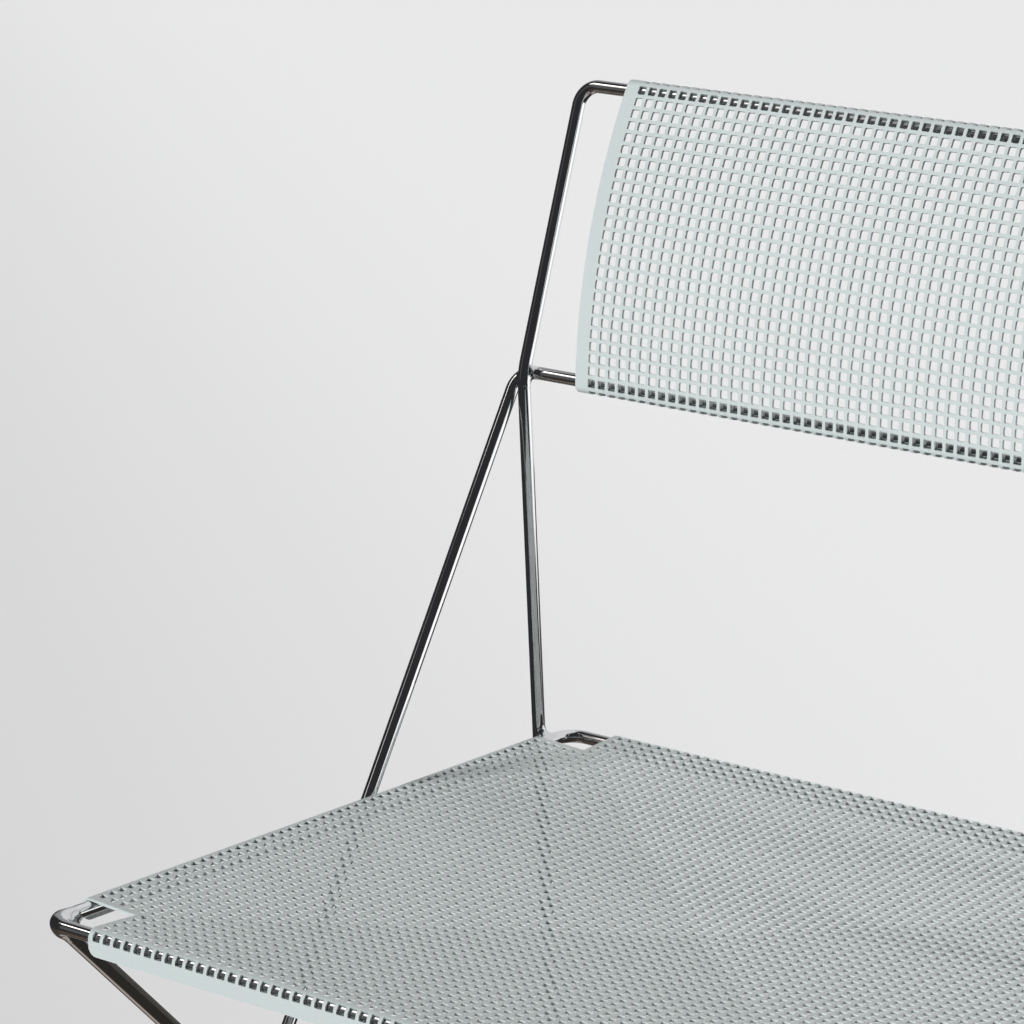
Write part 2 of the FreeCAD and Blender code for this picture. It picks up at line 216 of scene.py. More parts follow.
def hole_cells(cols, rows, seams):
    """Flat cells, one pitch square, each a ring of faces round a softened square hole.

    cols and rows are the hole centres in pitches.  seams = (across, along) is how many strips each side
    of the ring is split into, so that a cell can follow a fold.  Two loops of points, the cell's edge and
    the hole's edge, each evenly spread on the straight part of its sides."""
    x, y = [a.ravel() for a in np.meshgrid(np.asarray(cols, float), np.asarray(rows, float))]
    centre = np.stack([x, y], -1)[:, None] * PITCH
    sides = [np.linspace(-1, 1, strips + 1) for strips in (*seams, *seams)]
    turns = np.array([[[1, 0], [0, 1]], [[0, 1], [-1, 0]], [[-1, 0], [0, -1]], [[0, -1], [1, 0]]])
    loops = [
        np.stack([t * (size / 2 - corner), np.full_like(t, -size / 2)], -1) @ turn
        for size, corner in ((PITCH, 0.0), (HOLE, HOLE_CORNER)) for t, turn in zip(sides, turns)
    ]
    count = sum(len(t) for t in sides)
    here = np.arange(count)
    ahead = np.roll(here, -1)
    ring = np.stack([here, ahead, ahead + count, here + count], -1)
    at_corner = np.isin(here, np.cumsum([len(t) for t in sides]) - 1)
    move = (np.arange(len(x)) * 2 * count)[:, None, None]
    verts = (centre + np.concatenate(loops)[None]).reshape(-1, 2)
    quads = (ring[~at_corner][None] + move).reshape(-1, 4)
    tris = (ring[at_corner][:, [0, 2, 3]][None] + move).reshape(-1, 3)
    return verts, [quads, tris]


def plain_cells(cols, rows):
    """A flat net of plain four-sided faces between the given lines, in millimetres."""
    x, y = np.meshgrid(np.asarray(cols, float), np.asarray(rows, float))
    index = np.arange(x.size).reshape(x.shape)
    quads = np.stack([index[:-1, :-1], index[:-1, 1:], index[1:, 1:], index[1:, :-1]], -1).reshape(-1, 4)
    return np.stack([x.ravel(), y.ravel()], -1), [quads]


def welded_net(parts):
    """One net from several: points closer than a hundredth of a millimetre become one."""
    verts, faces = joined(parts)
    _, first, index = np.unique(np.round(verts, 2), axis=0, return_index=True, return_inverse=True)
    index = index.ravel()
    return verts[first], [index[f] for f in faces]


def thickened(net, fold, thickness=SHEET):
    """The net folded twice, at the face and one thickness under it, with a wall on every free edge.

    A free edge is one that a single face uses.  fold(points, depth) gives the place in space."""
    verts, faces = net
    quads = [f for f in faces if f.shape[1] == 4]
    tris = [f for f in faces if f.shape[1] == 3]
    edges = np.concatenate([np.stack([f, np.roll(f, -1, 1)], -1).reshape(-1, 2) for f in faces])
    key = np.sort(edges, 1)
    _, first, count = np.unique(key[:, 0] * len(verts) + key[:, 1], return_index=True, return_counts=True)
    free = edges[first[count == 1]]
    low = len(verts)
    walls = np.stack([free[:, 1], free[:, 0], free[:, 0] + low, free[:, 1] + low], -1)
    under = [f[:, ::-1] + low for f in faces]
    space = np.concatenate([fold(verts, 0.0), fold(verts, thickness)])
    return space, quads + tris + under + [walls]


def seat_fold(points, depth):
    """Seat: four facets falling to the middle, height by the larger of the two shares of the half sizes;
    past the ring's line a quarter roll about the rod and then a straight drop."""
    u, v = points[:, 0], points[:, 1]
    share = np.maximum(np.abs(u) / SEAT_HALF_W, np.abs(v) / SEAT_HALF_D)
    facet = HEM_OUT - SEAT_DISH * np.clip(1 - share, 0, 1) - depth
    over = np.stack([np.abs(u) - SEAT_HALF_W, np.abs(v) - SEAT_HALF_D], -1).clip(0)
    past = over.max(-1)
    turn = np.minimum(past / HEM_MID, math.pi / 2)
    drop = np.maximum(past - HEM_MID * math.pi / 2, 0)
    out = (HEM_OUT - depth) * np.sin(turn)
    z = np.where(past > 0, (HEM_OUT - depth) * np.cos(turn) - drop, facet)
    on_side = over[:, 0] > 0
    on_end = over[:, 1] > 0
    x = np.where(on_side, np.sign(u) * (SEAT_HALF_W + out), u)
    y = np.where(on_end, np.sign(v) * (SEAT_HALF_D + out), v)
    return on_seat(np.stack([x, y, z], -1))


chord = TOP_RAIL - LOW_RAIL
axis_r = BACK_R - HEM_OUT
behind = np.array([chord[1], -chord[0]]) / np.linalg.norm(chord)
arch = (TOP_RAIL + LOW_RAIL) / 2 + behind * math.sqrt(axis_r ** 2 - (np.linalg.norm(chord) / 2) ** 2)
top_turn = math.atan2(*(TOP_RAIL - arch)[::-1]) - HOOK_SLACK / axis_r
low_turn = math.atan2(*(LOW_RAIL - arch)[::-1]) % (2 * math.pi) + HOOK_SLACK / axis_r
top_hook, low_hook = (arch + axis_r * np.array([math.cos(a), math.sin(a)]) for a in (top_turn, low_turn))
BACK_MID_R = BACK_R - SHEET / 2
back_half_run = BACK_MID_R * (low_turn - top_turn) / 2
hook_run = HEM_MID * math.pi


def back_fold(points, depth):
    """Back: an arc about a level axis behind it, a half roll round each rail, then a short straight tab;
    between the hems the depth grows by the coat.
    The second coordinate is the length along the middle of the sheet, from the middle of the arc up."""
    u, s = points[:, 0], points[:, 1]
    way = np.sign(s)
    past = np.maximum(np.abs(s) - back_half_run, 0)
    along_arc = s - way * past
    angle = (top_turn + low_turn) / 2 - along_arc / BACK_MID_R
    hook = np.minimum(past, hook_run) / HEM_MID
    tab = np.maximum(past - hook_run, 0)
    rail = np.where(way[:, None] > 0, top_hook, low_hook)
    rail_turn = np.where(way > 0, top_turn, low_turn) - way * hook
    ray = np.stack([np.cos(rail_turn), np.sin(rail_turn)], -1)
    ahead = np.stack([np.sin(rail_turn), -np.cos(rail_turn)], -1) * way[:, None]
    rolled = rail + (HEM_OUT - depth) * ray + tab[:, None] * ahead
    flat = (np.abs(s) < BACK_COATED_HALF)[:, None]
    coated = np.where(flat, depth * COATED / SHEET, depth)
    arc = arch + (BACK_R - coated) * np.stack([np.cos(angle), np.sin(angle)], -1)
    place = np.where(past[:, None] > 0, rolled, arc)
    return np.stack([u, place[:, 0], place[:, 1]], -1)


# Finishes


def nodes_of(name):
    """A new node material, with its tree and its Principled shader."""
    made = bpy.data.materials.new(name)
    made.use_nodes = True
    tree = made.node_tree
    return made, tree, tree.nodes["Principled BSDF"]


def speckle_group():
    """Shared effect: noise on Object coordinates, broad noise stretched to a tone, fine noise as it is."""
    group = bpy.data.node_groups.new("finish_speckle", "ShaderNodeTree")
    for name, value in (("Fine Scale", 2200.0), ("Broad Scale", 14.0), ("Low", 0.9), ("High", 1.05)):
        socket = group.interface.new_socket(name, in_out="INPUT", socket_type="NodeSocketFloat")
        socket.default_value = value
    for name in ("Tone", "Fine"):
        group.interface.new_socket(name, in_out="OUTPUT", socket_type="NodeSocketFloat")
    inside, outside = group.nodes.new("NodeGroupInput"), group.nodes.new("NodeGroupOutput")
    place = group.nodes.new("ShaderNodeTexCoord")
    fine, broad = group.nodes.new("ShaderNodeTexNoise"), group.nodes.new("ShaderNodeTexNoise")
    fine.inputs["Detail"].default_value = 2.0
    broad.inputs["Detail"].default_value = 4.0
    tone = group.nodes.new("ShaderNodeMapRange")
    tone.inputs["From Min"].default_value = 0.3
    tone.inputs["From Max"].default_value = 0.7
    link = group.links.new
    link(place.outputs["Object"], fine.inputs["Vector"])
    link(place.outputs["Object"], broad.inputs["Vector"])
    link(inside.outputs["Fine Scale"], fine.inputs["Scale"])
    link(inside.outputs["Broad Scale"], broad.inputs["Scale"])
    link(broad.outputs["Fac"], tone.inputs["Value"])
    link(inside.outputs["Low"], tone.inputs["To Min"])
    link(inside.outputs["High"], tone.inputs["To Max"])
    link(tone.outputs["Result"], outside.inputs["Tone"])
    link(fine.outputs["Fac"], outside.inputs["Fine"])
    return group


speckle = speckle_group()


def speckled(tree, **values):
    """The shared speckle placed in a material with its own values."""
    node = tree.nodes.new("ShaderNodeGroup")
    node.node_tree = speckle
    for name, value in values.items():
        node.inputs[name.replace("_", " ")].default_value = value
    return node


def toned(tree, shader, colour, node):
    """Base colour times the speckle's tone."""
    mix = tree.nodes.new("ShaderNodeMix")
    mix.data_type = "RGBA"
    mix.blend_type = "MULTIPLY"
    mix.inputs["Factor"].default_value = 1.0
    mix.inputs["A"].default_value = (*colour, 1.0)
    tree.links.new(node.outputs["Tone"], mix.inputs["B"])
    tree.links.new(mix.outputs["Result"], shader.inputs["Base Color"])


def ranged(tree, value, low, high, socket):
    """A noise value stretched to low..high and fed to a socket."""
    node = tree.nodes.new("ShaderNodeMapRange")
    node.inputs["From Min"].default_value = 0.3
    node.inputs["From Max"].default_value = 0.7
    node.inputs["To Min"].default_value = low
    node.inputs["To Max"].default_value = high
    tree.links.new(value, node.inputs["Value"])
    tree.links.new(node.outputs["Result"], socket)


def bumped(tree, shader, value, distance, strength):
    """A bump from a height value, its depth in metres."""
    node = tree.nodes.new("ShaderNodeBump")
    node.inputs["Distance"].default_value = distance
    node.inputs["Strength"].default_value = strength
    tree.links.new(value, node.inputs["Height"])
    tree.links.new(node.outputs["Normal"], shader.inputs["Normal"])


def plating(name, colour, rough_low, rough_high, depth, fine_scale):
    """Bright plating: full metal, faint broad tarnish, small waves in the polish."""
    made, tree, shader = nodes_of(name)
    shader.inputs["Metallic"].default_value = 1.0
    node = speckled(tree, Fine_Scale=fine_scale, Broad_Scale=22.0, Low=0.93, High=1.0)
    toned(tree, shader, colour, node)
    ranged(tree, node.outputs["Fine"], rough_low, rough_high, shader.inputs["Roughness"])
    bumped(tree, shader, node.outputs["Fine"], depth, 0.5)
    return made


def powder_coat():
    """Satin powder coat: pale mint grey, faint cloudiness, fine orange-peel skin."""
    made, tree, shader = nodes_of("powder_coat")
    node = speckled(tree, Fine_Scale=1500.0, Broad_Scale=9.0, Low=0.97, High=1.0)
    toned(tree, shader, (0.675, 0.725, 0.722), node)
    ranged(tree, node.outputs["Fine"], 0.42, 0.52, shader.inputs["Roughness"])
    bumped(tree, shader, node.outputs["Fine"], 0.00004, 0.35)
    return made


def moulded_plastic():
    """Matt black moulded plastic with a fine spark-eroded grain."""
    made, tree, shader = nodes_of("glide_black")
    node = speckled(tree, Fine_Scale=2600.0, Broad_Scale=60.0, Low=0.8, High=1.1)
    toned(tree, shader, (0.022, 0.022, 0.023), node)
    ranged(tree, node.outputs["Fine"], 0.48, 0.66, shader.inputs["Roughness"])
    bumped(tree, shader, node.outputs["Fine"], 0.00008, 0.6)
    return made


chrome = plating("chrome_plate", (0.80, 0.805, 0.815), 0.03, 0.06, 0.00002, 90.0)
weld_chrome = plating("weld_plate", (0.74, 0.745, 0.755), 0.06, 0.14, 0.0003, 420.0)
coat = powder_coat()
plastic = moulded_plastic()

# Rods

ring_x, ring_y = SEAT_HALF_W, SEAT_HALF_D
ring_corners = on_seat([
    [0, -ring_y, 0], [ring_x, -ring_y, 0], [ring_x, ring_y, 0],
    [-ring_x, ring_y, 0], [-ring_x, -ring_y, 0], [0, -ring_y, 0],
])
ring_path = bent(ring_corners, [BEND] * 4)[:-1]
seat_normal = on_seat([0, 0, 1]) - on_seat([0, 0, 0])
solid("ring_rod", *rod(ring_path, seat_normal, closed=True), chrome, "chrome_rod", stands_for=["seat_ring"])

rear_foot = np.array([upright_x, rear_foot_y, ROD_END_Z])
kink = np.array([upright_x, KINK[1], KINK[2]])
top_corner = np.array([upright_x, TOP_RAIL[0], TOP_Z])
back_run = [rear_foot * MIRROR, kink * MIRROR, top_corner * MIRROR, top_corner, kink, rear_foot]
back_path = bent(back_run, [KINK_BEND, BEND, BEND, KINK_BEND])
back_plane = np.cross(top_corner - kink, [1, 0, 0])
solid("back_frame_rod", *rod(back_path, back_plane), chrome, "chrome_rod", stands_for=["back_leg_frame"])

corner_reach = BEND * math.sin(math.pi / 4)
slide = STRUT_R - ROD_R
strut_top = on_seat([ring_x - BEND + corner_reach - slide, -ring_y + BEND - corner_reach - slide, 0])
strut_low_z = (
    rear_foot_y + LEG_SLOPE * ROD_END_Z - strut_top[1] - STRUT_SLOPE * strut_top[2]
) / (LEG_SLOPE - STRUT_SLOPE)
strut_low_y = strut_top[1] + STRUT_SLOPE * (strut_top[2] - strut_low_z)
strut_low = np.array([upright_x - STRUT_TOUCH, strut_low_y, strut_low_z])
crossing_z = (
    strut_top[1] + STRUT_SLOPE * strut_top[2] - LEG_CORNER[1] + FRONT_SLOPE * LEG_CORNER[2]
) / (FRONT_SLOPE + STRUT_SLOPE)
crossing = strut_top + (strut_low - strut_top) * (strut_top[2] - crossing_z) / (strut_top[2] - strut_low[2])
leg_run = crossing + [STRUT_TOUCH, 0, 0] - LEG_CORNER
front_foot = LEG_CORNER + leg_run * (LEG_CORNER[2] - ROD_END_Z) / (LEG_CORNER[2] - crossing_z)
front_path = bent([front_foot * MIRROR, LEG_CORNER * MIRROR, LEG_CORNER, front_foot], [BEND, BEND])
front_plane = np.cross(LEG_CORNER - front_foot, [1, 0, 0])
solid("front_frame_rod", *rod(front_path, front_plane), chrome, "chrome_rod", stands_for=["front_leg_frame"])

strut_dir = (strut_low - strut_top) / np.linalg.norm(strut_low - strut_top)
strut_path = np.stack([strut_low, strut_top + strut_dir * STRUT_SHORT])
strut = rod(strut_path, [1, 0, 0], radius=STRUT_R)
solid("strut_rod_right", *strut, chrome, "chrome_rod", stands_for=["strut_right"])
solid("strut_rod_left", *mirrored(strut), chrome, "chrome_rod", stands_for=["strut_left"])

# Seat sheet: flat facets, then the rolled hems as a second piece


def at_notch(net):
    """Outer points of the cells beside a corner notch moved out to the notch's cut edge."""
    verts, faces = net
    size = np.abs(verts)
    edge = np.array([SEAT_LAST + 0.5, SIDE_LAST + 0.5]) * PITCH
    along_u = np.isclose(size[:, 0], edge[0]) & (size[:, 1] > edge[1] - 0.01)
    along_v = np.isclose(size[:, 1], edge[1]) & (size[:, 0] > edge[0] - 0.01)
    size[along_u, 0] = NOTCH[0]
    size[along_v, 1] = NOTCH[1]
    return np.sign(verts) * size, faces


middle_holes = np.arange(-SEAT_LAST, SEAT_LAST + 1)
side_rows = np.arange(-SIDE_LAST, SIDE_LAST + 1)
flat_parts = [hole_cells(middle_holes, middle_holes, (1, 1))]
for way in (-1, 1):
    flat_parts.append(hole_cells(way * np.arange(SEAT_LAST + 1, HEM_COL), side_rows, (1, 1)))
seat_flat = thickened(at_notch(welded_net(flat_parts)), seat_fold, COATED)
solid("seat_sheet", *seat_flat, coat, "coated_sheet", sharp=25.0, stands_for=["seat_panel"])

hem_run = HEM_MID * math.pi / 2 + HEM_DROP
HEM_CORNER = 5.0


def hem_band(reach, half_width, first, lines):
    """The plain lower band of a hem as lines in pitches across and lengths down, its two end lines
    drawn in near the free edge by a quarter circle."""
    end = reach + hem_run
    down = np.concatenate([[first], np.linspace(first + 1.5, end - HEM_CORNER, 3),
                           end - HEM_CORNER * (1 - np.sin(np.linspace(0, math.pi / 2, 7)[1:]))])
    verts, faces = plain_cells(lines, down)
    drawn = np.clip(verts[:, 1] - (end - HEM_CORNER), 0, HEM_CORNER)
    inset = HEM_CORNER - np.sqrt(HEM_CORNER ** 2 - drawn ** 2)
    verts[:, 0] = np.clip(verts[:, 0], inset - half_width, half_width - inset)
    return verts, faces


def hem_lines(half_cells, half_width):
    """Cell edges across a hem, the outermost at the notch's cut edge."""
    lines = np.arange(-half_cells - 0.5, half_cells + 1) * PITCH
    lines[[0, -1]] = -half_width, half_width
    return lines


hem_parts = []
for way in (-1, 1):
    for row, strips in ((HEM_ROW, 4), (HEM_ROW + 1, 8)):
        hem_parts.append(hole_cells(middle_holes, [way * row], (1, strips)))
    for col, strips in ((HEM_COL, 3), (HEM_COL + 1, 8)):
        hem_parts.append(hole_cells([way * col], side_rows, (strips, 1)))
    below = (HEM_ROW + 1.5) * PITCH
    verts, faces = hem_band(SEAT_HALF_D, NOTCH[0], below, hem_lines(SEAT_LAST, NOTCH[0]))
    hem_parts.append((verts * [way, way], faces))
    below = (HEM_COL + 1.5) * PITCH
    verts, faces = hem_band(SEAT_HALF_W, NOTCH[1], below, hem_lines(SIDE_LAST, NOTCH[1]))
    hem_parts.append((verts[:, ::-1] * [way, -way], faces))
seat_hems = welded_net([at_notch(part) for part in hem_parts])
seat_rolled = thickened(seat_hems, seat_fold)
solid("seat_hems", *seat_rolled, coat, "coated_sheet", sharp=40.0, stands_for=["seat_panel"])

# Back sheet

back_cols = np.arange(-BACK_LAST_COL, BACK_LAST_COL + 1)
back_rows = np.arange(-BACK_LAST_ROW, BACK_LAST_ROW + 1)
punched_half_w = (BACK_LAST_COL + 0.5) * PITCH
punched_half_run = (BACK_LAST_ROW + 2.5) * PITCH
back_end = back_half_run + hook_run + HOOK_TAB
back_parts = [hole_cells(back_cols, back_rows, (1, 1))]
cell_edges = np.arange(-BACK_LAST_COL - 0.5, BACK_LAST_COL + 1) * PITCH
edge_lines = np.concatenate([[-BACK_HALF_W], cell_edges, [BACK_HALF_W]])
side_lines = [punched_half_w, BACK_HALF_W]
row_lines = [np.arange(-BACK_LAST_ROW - 0.5, BACK_LAST_ROW + 1) * PITCH]
for way in (-1, 1):
    for row, strips in ((BACK_LAST_ROW + 1, 6), (BACK_LAST_ROW + 2, 10)):
        back_parts.append(hole_cells(back_cols, [way * row], (1, strips)))
        row_lines.append(way * (row + np.linspace(-0.5, 0.5, strips + 1)) * PITCH)
    tab = np.concatenate([np.linspace(punched_half_run, back_half_run + hook_run, 7), [back_end]])
    row_lines.append(way * tab)
    verts, faces = plain_cells(edge_lines, tab)
    back_parts.append((verts * [way, way], faces))
side_rows_back = np.unique(np.round(np.concatenate(row_lines), 4))
inside = np.abs(side_rows_back) < punched_half_run + 0.01
for way in (-1, 1):
    verts, faces = plain_cells(side_lines, side_rows_back[inside])
    back_parts.append((verts * [way, way], faces))
back_folded = thickened(welded_net(back_parts), back_fold)
solid("back_sheet", *back_folded, coat, "coated_sheet", sharp=40.0, stands_for=["back_panel"])

# Welds

HALVINGS = 18
# Down the strut from the ring's line: the middle of the front corner's bead, and where the strut counts
CORNER_BEAD = 5.0
CORNER_STRUT = 7.0


def gap_to(points, path, radius):
    """Distance from each point to the nearest piece of a path, less the rod's radius."""
    start, run = path[:-1], path[1:] - path[:-1]
    offset = points[..., None, :] - start
    share = ((offset * run).sum(-1) / (run * run).sum(-1)).clip(0, 1)
    return np.linalg.norm(offset - share[..., None] * run, axis=-1).min(-1) - radius


def weld(spot, rods, fill, reach):
    """A bead of filler: along every ray from the spot, out to where the two rods blended together end.

    The blend is the smaller of the two gaps less fill / 4 times the square of how near the gaps are to
    equal, as a share of fill; the crossing is found by halving the interval 0..reach on every ray."""
    polar = np.linspace(0, math.pi, 33)[1:-1, None]
    round_ = np.linspace(0, 2 * math.pi, 64, endpoint=False)[None]
    rays = np.stack(np.broadcast_arrays(
        np.sin(polar) * np.cos(round_), np.sin(polar) * np.sin(round_), np.cos(polar) + 0 * round_), -1)
    rays = np.concatenate([rays.reshape(-1, 3), [[0, 0, 1], [0, 0, -1]]])
    near, far = np.zeros(len(rays)), np.full(len(rays), reach)
    for _ in range(HALVINGS):
        middle = (near + far) / 2
        one, two = (gap_to(spot + rays * middle[:, None], *rod_at) for rod_at in rods)
        share = np.maximum(fill - np.abs(one - two), 0) / fill
        inside = np.minimum(one, two) - share ** 2 * fill / 4 < 0
        near, far = np.where(inside, middle, near), np.where(inside, far, middle)
    verts = spot + rays * near[:, None]
    rows, cols = len(polar), round_.shape[1]
    index = np.arange(rows * cols).reshape(rows, cols)
    ahead = np.roll(index, -1, 1)
    quads = np.stack([index[:-1], index[1:], ahead[1:], ahead[:-1]], -1).reshape(-1, 4)
    top, low = rows * cols, rows * cols + 1
    caps = [np.stack([np.full(cols, top), index[0], ahead[0]], -1),
            np.stack([np.full(cols, low), ahead[-1], index[-1]], -1)]
    return verts, [quads] + caps


def weld_pair(name, spot, rods, fill, reach):
    """The bead on the right side and its twin on the left, as one piece in place of the solid's beads."""
    bead = weld(np.asarray(spot, float), rods, fill, reach)
    beads = joined([bead, mirrored(bead)])
    solid(name, *beads, weld_chrome, "weld_bead", sharp=60.0, stands_for=["weld_" + name])


seat_weld_z = on_seat([0, ring_y, 0])[2]
seat_weld_y = rear_foot_y - LEG_SLOPE * (seat_weld_z - ROD_END_Z)
seat_middle = on_seat([0, 0, 0])
seat_weld = on_seat([ring_x + TOUCH / 2, (seat_weld_y - seat_middle[1]) / math.cos(SEAT_TILT), 0])
ring_rod = (np.concatenate([ring_path, ring_path[:1]]), ROD_R)
back_rod, front_rod = (back_path, ROD_R), (front_path, ROD_R)
strut_rod = (strut_path, STRUT_R)
beside_strut = np.array([STRUT_R + GAP / 2, 0, 0])
weld_pair("seat_corner", seat_weld, [ring_rod, back_rod], fill=6.5, reach=9.0)
rail_weld = np.array([upright_x, (KINK[1] + LOW_RAIL[0]) / 2, LOW_RAIL[1]])
weld_pair("back_rail", rail_weld, [front_rod, back_rod], fill=5.0, reach=9.0)
weld_pair("leg_crossing", crossing + beside_strut, [front_rod, strut_rod], fill=9.0, reach=13.0)
weld_pair("rear_foot", strut_low + beside_strut, [back_rod, strut_rod], fill=9.0, reach=13.0)
strut_below = (np.stack([strut_low, strut_top + strut_dir * CORNER_STRUT]), STRUT_R)
corner_bead = strut_top + strut_dir * CORNER_BEAD
weld_pair("front_corner", corner_bead, [ring_rod, strut_below], fill=10.0, reach=15.0)

# Glides: lengths, the softness of the upper lip, the bevel of the sole's rim, the depth of the mouth
FRONT_GLIDE, BACK_GLIDE = 24.0, 10.0
LIP = 1.6
BEVEL = 0.6
MOUTH = 2.0


def glide(foot, knee, length):
    """A sleeve turned about the leg's line: a profile of radius against height, every point below the
    floor slid up along the leg to it, so the sole is flat."""
    axis = (knee - foot) / np.linalg.norm(knee - foot)
    lip = np.linspace(0, math.pi / 2, 9)
    radius = np.concatenate([
        np.linspace(0, GLIDE_R - BEVEL, 6), np.linspace(GLIDE_R - BEVEL, GLIDE_R, 4)[1:],
        np.full(10, GLIDE_R), GLIDE_R - LIP * (1 - np.cos(lip)), [ROD_R, ROD_R],
    ])
    height = np.concatenate([
        np.full(6, -2 * GLIDE_R), np.linspace(-2 * GLIDE_R, -2 * GLIDE_R + BEVEL, 4)[1:],
        np.linspace(-GLIDE_R, length - LIP - 0.4, 10), length - LIP + LIP * np.sin(lip),
        [length, length - MOUTH],
    ])
    angle = np.linspace(0, 2 * math.pi, 48, endpoint=False)
    across = np.cross(axis, [1.0, 0.0, 0.0])
    across = across / np.linalg.norm(across)
    other = np.cross(axis, across)
    ray = np.cos(angle)[:, None] * across + np.sin(angle)[:, None] * other
    verts = foot + height[1:, None, None] * axis + radius[1:, None, None] * ray[None]
    sunk = np.minimum(verts[..., 2:], 0)
    verts = verts - axis * sunk / axis[2]
    rows, cols = verts.shape[:2]
    index = np.arange(rows * cols).reshape(rows, cols)
    ahead = np.roll(index, -1, 1)
    quads = np.stack([index[:-1], ahead[:-1], ahead[1:], index[1:]], -1).reshape(-1, 4)
    sole = foot - axis * foot[2] / axis[2]
    fans = [np.stack([np.full(cols, rows * cols), ahead[0], index[0]], -1),
            np.stack([np.full(cols, rows * cols + 1), index[-1], ahead[-1]], -1)]
    mouth = foot + axis * (length - MOUTH)
    return np.concatenate([verts.reshape(-1, 3), [sole], [mouth]]), [quads] + fans


for end, sleeve in (
    ("front", glide(front_foot, LEG_CORNER, FRONT_GLIDE)),
    ("back", glide(rear_foot, kink, BACK_GLIDE)),
):
    for side, shape in (("right", sleeve), ("left", mirrored(sleeve))):
        solid(f"{end}_foot_{side}", *shape, plastic, "glide_plastic", stands_for=[f"glide_{end}_{side}"])

# Stage: a pale floor, three soft lamps, and a surround of studio cards that only reflections see


def toward(azimuth, elevation):
    """The way to a compass place: azimuth 0 in front of the chair, 90 to the right, in degrees."""
    a, e = np.radians(azimuth), np.radians(elevation)
    return np.stack(np.broadcast_arrays(np.sin(a) * np.cos(e), -np.cos(a) * np.cos(e), np.sin(e)), -1)


def stage_mesh(name, verts, faces, material):
    """A stage object from arrays in metres."""
    mesh = bpy.data.meshes.new(name)
    mesh.from_pydata(verts.tolist(), [], faces.tolist())
    mesh.materials.append(material)
    made = bpy.data.objects.new(name, mesh)
    bpy.context.scene.collection.objects.link(made)
    return made


def bare_material(name):
    """A node material with nothing in it but its output."""
    made = bpy.data.materials.new(name)
    made.use_nodes = True
    made.node_tree.nodes.clear()
    return made, made.node_tree, made.node_tree.nodes.new("ShaderNodeOutputMaterial")


def floor_material(colour, seen_colour, lift, near_share):
    """Pale floor: diffuse, so that it keeps shadows, and lifted to the backdrop's tone where it is seen.

    The lift grows by a smooth step along FADE_WAY, from near_share of it beside the chair to all of it:
    painted shade, so the floor is seen darker near the chair than far behind it."""
    made, tree, out = bare_material("pale_floor")
    diffuse = tree.nodes.new("ShaderNodeBsdfDiffuse")
    diffuse.inputs["Color"].default_value = (*colour, 1.0)
    glow = tree.nodes.new("ShaderNodeEmission")
    glow.inputs["Color"].default_value = (*seen_colour, 1.0)
    path = tree.nodes.new("ShaderNodeLightPath")
    seen = tree.nodes.new("ShaderNodeMath")
    seen.operation = "MAXIMUM"
    place = tree.nodes.new("ShaderNodeTexCoord")
    away = tree.nodes.new("ShaderNodeVectorMath")
    away.operation = "DOT_PRODUCT"
    away.inputs[1].default_value = FADE_WAY
    fade = tree.nodes.new("ShaderNodeMapRange")
    fade.interpolation_type = "SMOOTHSTEP"
    fade.inputs["From Min"].default_value, fade.inputs["From Max"].default_value = FADE_FROM_TO
    fade.inputs["To Min"].default_value, fade.inputs["To Max"].default_value = lift * near_share, lift
    strength = tree.nodes.new("ShaderNodeMath")
    strength.operation = "MULTIPLY"
    add = tree.nodes.new("ShaderNodeAddShader")
    tree.links.new(place.outputs["Object"], away.inputs[0])
    tree.links.new(away.outputs["Value"], fade.inputs["Value"])
    tree.links.new(path.outputs["Is Camera Ray"], seen.inputs[0])
    tree.links.new(path.outputs["Is Transmission Ray"], seen.inputs[1])
    tree.links.new(seen.outputs["Value"], strength.inputs[0])
    tree.links.new(fade.outputs["Result"], strength.inputs[1])
    tree.links.new(strength.outputs["Value"], glow.inputs["Strength"])
    tree.links.new(diffuse.outputs["BSDF"], add.inputs[0])
    tree.links.new(glow.outputs["Emission"], add.inputs[1])
    tree.links.new(add.outputs["Shader"], out.inputs["Surface"])
    return made


BACKDROP = (0.775, 0.778, 0.78)
FLOOR_TONE = (0.36, 0.36, 0.36)
FLOOR_HALF = 25.0
# Painted shade: the floor's lift falls to FLOOR_NEAR_SHARE of itself beside the chair, along FADE_WAY over
# FADE_FROM_TO.
FLOOR_LIFT, FLOOR_NEAR_SHARE = 0.785, 0.72
FADE_WAY = (0.606, 0.796, 0.0)
FADE_FROM_TO = (-0.5, 0.8)
floor_verts = np.array([[-1, -1, 0], [1, -1, 0], [1, 1, 0], [-1, 1, 0]]) * FLOOR_HALF
floor_finish = floor_material(FLOOR_TONE, BACKDROP, FLOOR_LIFT, FLOOR_NEAR_SHARE)
floor = stage_mesh("floor", floor_verts, np.array([[0, 1, 2, 3]]), floor_finish)
floor.visible_glossy = False

# Cards: middle azimuth and half width, middle elevation and half height, softness, red, green and blue.
# Later cards lie over earlier ones.
CARDS = np.array([
    [170, 55, 44, 68, 14, 0.80, 0.80, 0.81],
    [-128, 14, 28, 20, 12, 0.34, 0.34, 0.35],
    [122, 22, -4.5, 13.5, 6, 1.35, 1.34, 1.34],
    [-41, 7, 12, 18, 6, 0.105, 0.105, 0.105],
    [0, 180, -64, 38, 5, 0.07, 0.055, 0.045],
    [-142, 20, -32, 14, 10, 0.45, 0.44, 0.43],
    [-60, 14, -49, 8, 6, 0.16, 0.115, 0.09],
    [114, 22, -47, 25, 6, 0.012, 0.012, 0.012],
    [-100, 60, -70, 12, 8, 0.42, 0.37, 0.33],
    [-45, 4, 34.2, 3, 3, 1.3, 1.2, 1.15],
    [-61, 10, 42.5, 4.5, 2.5, 3.2, 3.0, 2.85],
])
ROOM = np.array([0.03, 0.03, 0.032])
SURROUND_R = 12.0
SURROUND_AT = np.array([0.0, 0.0, 0.5])


